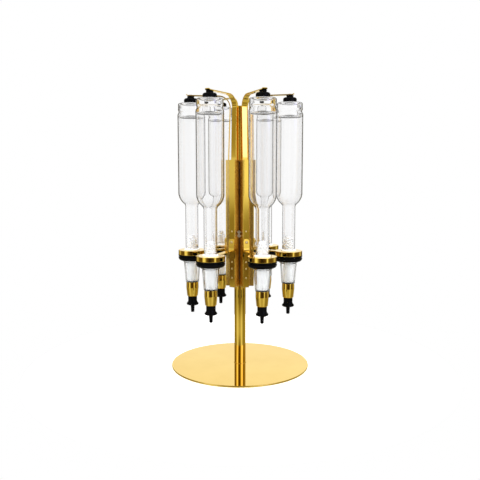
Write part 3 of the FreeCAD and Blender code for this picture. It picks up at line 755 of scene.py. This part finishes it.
world = bpy.data.worlds.new("studio")
scene.world = world
world.use_nodes = True
world.cycles.sampling_method = "NONE"
nt = world.node_tree
nt.nodes.clear()


def wn(kind, **kw):
    n = nt.nodes.new(kind)
    for k, v in kw.items():
        setattr(n, k, v)
    return n


def wmath(op, a, b=None):
    m = wn("ShaderNodeMath", operation=op)
    for i, v in enumerate((a, b)):
        if v is None:
            continue
        if isinstance(v, (int, float)):
            m.inputs[i].default_value = v
        else:
            nt.links.new(v, m.inputs[i])
    return m.outputs[0]


def wstep(v, lo, hi):
    m = wn("ShaderNodeMapRange", interpolation_type="SMOOTHSTEP")
    m.inputs["From Min"].default_value = lo
    m.inputs["From Max"].default_value = hi
    nt.links.new(v, m.inputs["Value"])
    return m.outputs["Result"]


def wmix(f, a, b):
    """a where f is 0, b where f is 1."""
    return wmath("ADD", wmath("MULTIPLY", a, wmath("SUBTRACT", 1.0, f)), wmath("MULTIPLY", b, f))


def wramp(az, stops):
    """Brightness by azimuth in degrees, from -180 to 180. 0 is in front and + is to the right. The ramp holds a quarter of each value."""
    r = wn("ShaderNodeValToRGB")
    r.color_ramp.interpolation = "EASE"
    e = r.color_ramp.elements
    first, last = stops[0], stops[-1]
    e[0].position = (first[0] + 180) / 360
    e[0].color = (first[1] / 4,) * 3 + (1,)
    e[-1].position = (last[0] + 180) / 360
    e[-1].color = (last[1] / 4,) * 3 + (1,)
    for a, v in stops[1:-1]:
        k = e.new((a + 180) / 360)
        k.color = (v / 4,) * 3 + (1,)
    nt.links.new(wmath("ADD", wmath("DIVIDE", az, 360.0), 0.5), r.inputs["Fac"])
    return wmath("MULTIPLY", r.outputs["Color"], 4.0)


tc = wn("ShaderNodeTexCoord")
sep = wn("ShaderNodeSeparateXYZ")
nt.links.new(tc.outputs["Generated"], sep.inputs[0])
X, Y, Z = sep.outputs[0], sep.outputs[1], sep.outputs[2]
az = wmath("MULTIPLY", wmath("ARCTAN2", X, wmath("MULTIPLY", Y, -1.0)), 180 / math.pi)
el = wmath("MULTIPLY", wmath("ARCSINE", Z), 180 / math.pi)

# Brightness round the compass at several heights: white panels left, right and behind, with dark gaps between them.
under = wramp(az, [(-180, 0.8), (-150, 0.7), (-135, 0.3), (-90, 0.25), (-62, 0.3), (-50, 0.62), (-34, 0.7), (-16, 0.55), (0, 0.5),
                   (14, 0.55), (30, 0.7), (46, 0.62), (60, 0.3), (90, 0.25), (135, 0.3), (150, 0.7), (180, 0.8)])
foot = wramp(az, [
    (-180, 0.6), (-120, 0.22), (-95, 0.28), (-72, 0.28), (-62, 0.40), (-52, 0.93), (-40, 0.93), (-28, 0.5), (-20, 0.25), (0, 0.1), (18, 0.33), (27, 0.7),
    (35, 1.05), (48, 0.8), (58, 0.42), (80, 0.28), (100, 0.28), (150, 0.5), (180, 0.6)
])
deep = wramp(az, [(-180, 0.8), (-150, 0.7), (-110, 0.5), (-60, 0.55), (-34, 0.7), (-16, 0.55), (0, 0.5), (14, 0.55), (34, 0.7), (60, 0.55), (110, 0.5),
                  (150, 0.7), (180, 0.8)])
shin = wramp(az, [
    (-180, 0.6), (-120, 0.28), (-95, 0.27), (-78, 0.42), (-60, 0.69), (-40, 0.9), (-20, 0.58), (0, 0.5), (18, 0.6), (35, 0.9), (50, 0.66), (66, 0.4),
    (80, 0.26), (100, 0.33), (150, 0.5), (180, 0.6)
])
knee = wramp(az, [
    (-180, 0.6), (-120, 0.18), (-95, 0.19), (-78, 0.28), (-60, 0.6), (-40, 0.45), (-20, 0.3), (0, 0.09), (18, 0.25), (35, 0.4), (50, 0.42), (64, 0.25),
    (80, 0.13), (100, 0.23), (150, 0.5), (180, 0.6)
])
low = wramp(az, [
    (-180, 0.5), (-166, 0.3), (-150, 0.11), (-134, 0.16), (-124, 0.56), (-108, 0.56), (-99, 0.18), (-76, 0.11), (-66, 0.10), (-61, 0.24),
    (-56, 0.85), (-52, 1.05), (-42, 1.05), (-33, 0.55), (-24, 0.12), (0, 0.02), (20, 0.06), (33, 0.1), (38, 0.6), (42, 1.0), (47, 0.95), (51, 0.35),
    (55, 0.15), (75, 0.12), (99, 0.18), (108, 0.56), (124, 0.56), (134, 0.16), (150, 0.11), (166, 0.3), (180, 0.5)
])
belt = wramp(az, [
    (-180, 0.5), (-166, 0.3), (-150, 0.14), (-134, 0.2), (-124, 0.7), (-108, 0.7), (-99, 0.22), (-76, 0.26), (-64, 0.27), (-55, 0.9), (-36, 0.95),
    (-24, 0.5), (-12, 0.2), (0, 0.1), (14, 0.2), (28, 0.5), (40, 0.95), (50, 0.7), (57, 0.28), (70, 0.25), (95, 0.22), (99, 0.22), (108, 0.7),
    (124, 0.7), (134, 0.2), (150, 0.14), (166, 0.3), (180, 0.5)
])
mid = wramp(az, [
    (-180, 0.9), (-171, 0.9), (-165, 0.3), (-150, 0.12), (-134, 0.2), (-124, 0.7), (-108, 0.7), (-99, 0.22), (-90, 0.35), (-76, 0.64), (-65, 0.72),
    (-40, 0.95), (-26, 0.8), (-14, 0.3), (0, 0.2), (14, 0.3), (26, 0.8), (40, 1.1), (56, 1.12), (68, 0.9), (80, 0.45), (99, 0.22), (108, 0.7),
    (124, 0.7), (134, 0.2), (150, 0.12), (165, 0.3), (171, 0.9), (180, 0.9)
])
upper = wramp(az, [
    (-180, 1.06), (-157, 1.02), (-149, 0.25), (-132, 0.2), (-122, 0.6), (-110, 0.6), (-99, 0.25), (-85, 0.3), (-66, 0.34), (-58, 0.6), (-50, 1),
    (-32, 1.1), (-22, 0.7), (-12, 0.14), (0, 0.07), (12, 0.14), (22, 0.7), (32, 1.2), (44, 1.8), (52, 1.98), (60, 1.9), (70, 1), (80, 0.4), (99, 0.25),
    (110, 0.6), (122, 0.6), (132, 0.2), (149, 0.25), (157, 1.02), (180, 1.06)
])
high = wramp(az, [
    (-180, 1.06), (-155, 1.03), (-148, 0.4), (-134, 0.25), (-110, 0.2), (-84, 0.2), (-74, 0.4), (-66, 1.2), (-50, 1.7), (-38, 0.9), (-26, 0.2), (-6, 0.04),
    (6, 0.15), (14, 0.35), (30, 0.9), (42, 1.8), (54, 1.6), (64, 0.6), (72, 0.2), (84, 0.25), (100, 0.35), (134, 0.3), (148, 0.4), (155, 1.03), (180, 1.06)
])
roof = wramp(az, [
    (-180, 0.8), (-140, 0.7), (-100, 0.55), (-60, 0.6), (0, 0.5), (60, 0.7), (100, 0.6), (140, 0.7), (180, 0.8)
])
g = wmix(wstep(el, -40.0, -32.0), deep, under)
g = wmix(wstep(el, -24.0, -19.0), g, foot)
g = wmix(wstep(el, -16.9, -15.5), g, shin)
g = wmix(wstep(el, -14.8, -12.4), g, knee)
g = wmix(wstep(el, -11.6, -10.4), g, low)
g = wmix(wstep(el, -8.3, -6.0), g, belt)
g = wmix(wstep(el, -4.8, -1.8), g, mid)
g = wmix(wstep(el, 2.5, 5.5), g, upper)
g = wmix(wstep(el, 14.5, 18.5), g, high)
g = wmix(wstep(el, 26.0, 38.0), g, roof)

# Glossy rays see the panels; light that has left a matt surface, and what clear parts look through to, are even.
path_node = wn("ShaderNodeLightPath")
value = wmix(path_node.outputs["Is Glossy Ray"], 1.0, g)
through = wmix(wstep(el, 58.0, 72.0), wmix(wstep(el, -46.0, -30.0), 0.35, 1.02), 0.12)
value = wmix(path_node.outputs["Is Transmission Ray"], value, through)
inside = wmath("MINIMUM", path_node.outputs["Transmission Depth"], 1.0)
value = wmix(wmath("MINIMUM", path_node.outputs["Diffuse Depth"], 1.0), value, wmix(inside, 1.65, 2.3))
value = wmix(path_node.outputs["Is Camera Ray"], value, 1.0)
# The dim parts of the surroundings are other gold parts, so they are warm. The brightest panel is a little cooler.
warmth = wn("ShaderNodeValToRGB")
COOL = 2.6
we = warmth.color_ramp.elements
tones = [(0.0, (1.0, 0.60, 0.30)), (0.10, (1.0, 0.64, 0.30)), (0.22, (1.0, 0.84, 0.34)), (0.42, (1.0, 0.92, 0.55)), (0.68, (1.0, 1.0, 1.0)),
         (1.12, (1.0, 1.0, 1.0)), (1.5, (1.0, 1.0, 1.8)), (2.0, (1.0, 1.0, 2.5))]
we[0].position, we[0].color = 0.0, (tones[0][1][0], tones[0][1][1], tones[0][1][2] / COOL, 1)
we[-1].position, we[-1].color = 1.0, (tones[-1][1][0], tones[-1][1][1], tones[-1][1][2] / COOL, 1)
for level, col in tones[1:-1]:
    we.new(level / 2).color = (col[0], col[1], col[2] / COOL, 1)
nt.links.new(wmath("DIVIDE", g, 2.0), warmth.inputs["Fac"])
scaled = wn("ShaderNodeMix", data_type="RGBA", blend_type="MULTIPLY")
scaled.inputs["Factor"].default_value = 1.0
nt.links.new(warmth.outputs["Color"], scaled.inputs["A"])
scaled.inputs["B"].default_value = (1, 1, COOL, 1)
tinted = wn("ShaderNodeMix", data_type="RGBA")
tinted.inputs["A"].default_value = (1, 1, 1, 1)
mirror = wmath("MULTIPLY", path_node.outputs["Is Glossy Ray"], wmath("SUBTRACT", 1.0, path_node.outputs["Is Transmission Ray"]))
mirror = wmath("MULTIPLY", mirror, wmath("SUBTRACT", 1.0, wmath("MINIMUM", path_node.outputs["Diffuse Depth"], 1.0)))
nt.links.new(mirror, tinted.inputs["Factor"])
nt.links.new(scaled.outputs["Result"], tinted.inputs["B"])
bg = wn("ShaderNodeBackground")
nt.links.new(tinted.outputs["Result"], bg.inputs["Color"])
nt.links.new(value, bg.inputs["Strength"])
wo = wn("ShaderNodeOutputWorld")
nt.links.new(bg.outputs[0], wo.inputs["Surface"])


def softbox(name, where, size, power, target=(0, 0, 0.3)):
    light = bpy.data.lights.new(name, "AREA")
    light.shape = "RECTANGLE"
    light.size, light.size_y = size
    light.energy = power
    ob = bpy.data.objects.new(name, light)
    scene.collection.objects.link(ob)
    ob.location = where
    ob.rotation_euler = (Vector(target) - Vector(where)).to_track_quat("-Z", "Y").to_euler()
    ob.visible_glossy = False
    ob.visible_transmission = False
    return ob


softbox("overhead_softbox", (0.1, -0.2, 1.9), (1.8, 1.8), 22.0, (0, 0, 0))
softbox("left_softbox", (-1.3, -1.1, 1.0), (0.7, 1.3), 5.0)
softbox("right_softbox", (1.35, -1.0, 1.0), (0.7, 1.3), 7.0)

# ---------------------------------------------------------------------------
# Camera
# ---------------------------------------------------------------------------
phi, dist, height, pitch = 0.0805, 1.2990, 0.4306, 0.1178
cam_data = bpy.data.cameras.new("camera")
cam = bpy.data.objects.new("camera", cam_data)
scene.collection.objects.link(cam)
cam_data.sensor_width = 36.0
cam_data.lens = 603.1 / 480.0 * 36.0
cam.location = (dist * math.sin(phi), -dist * math.cos(phi), height)
cam.rotation_euler = (math.pi / 2 - pitch, 0.0, phi)
scene.camera = cam

scene.view_settings.view_transform = "Standard"
scene.view_settings.look = "None"
scene.cycles.max_bounces = 24
scene.cycles.transmission_bounces = 24
scene.cycles.glossy_bounces = 12
scene.cycles.diffuse_bounces = 4
scene.cycles.transparent_max_bounces = 16
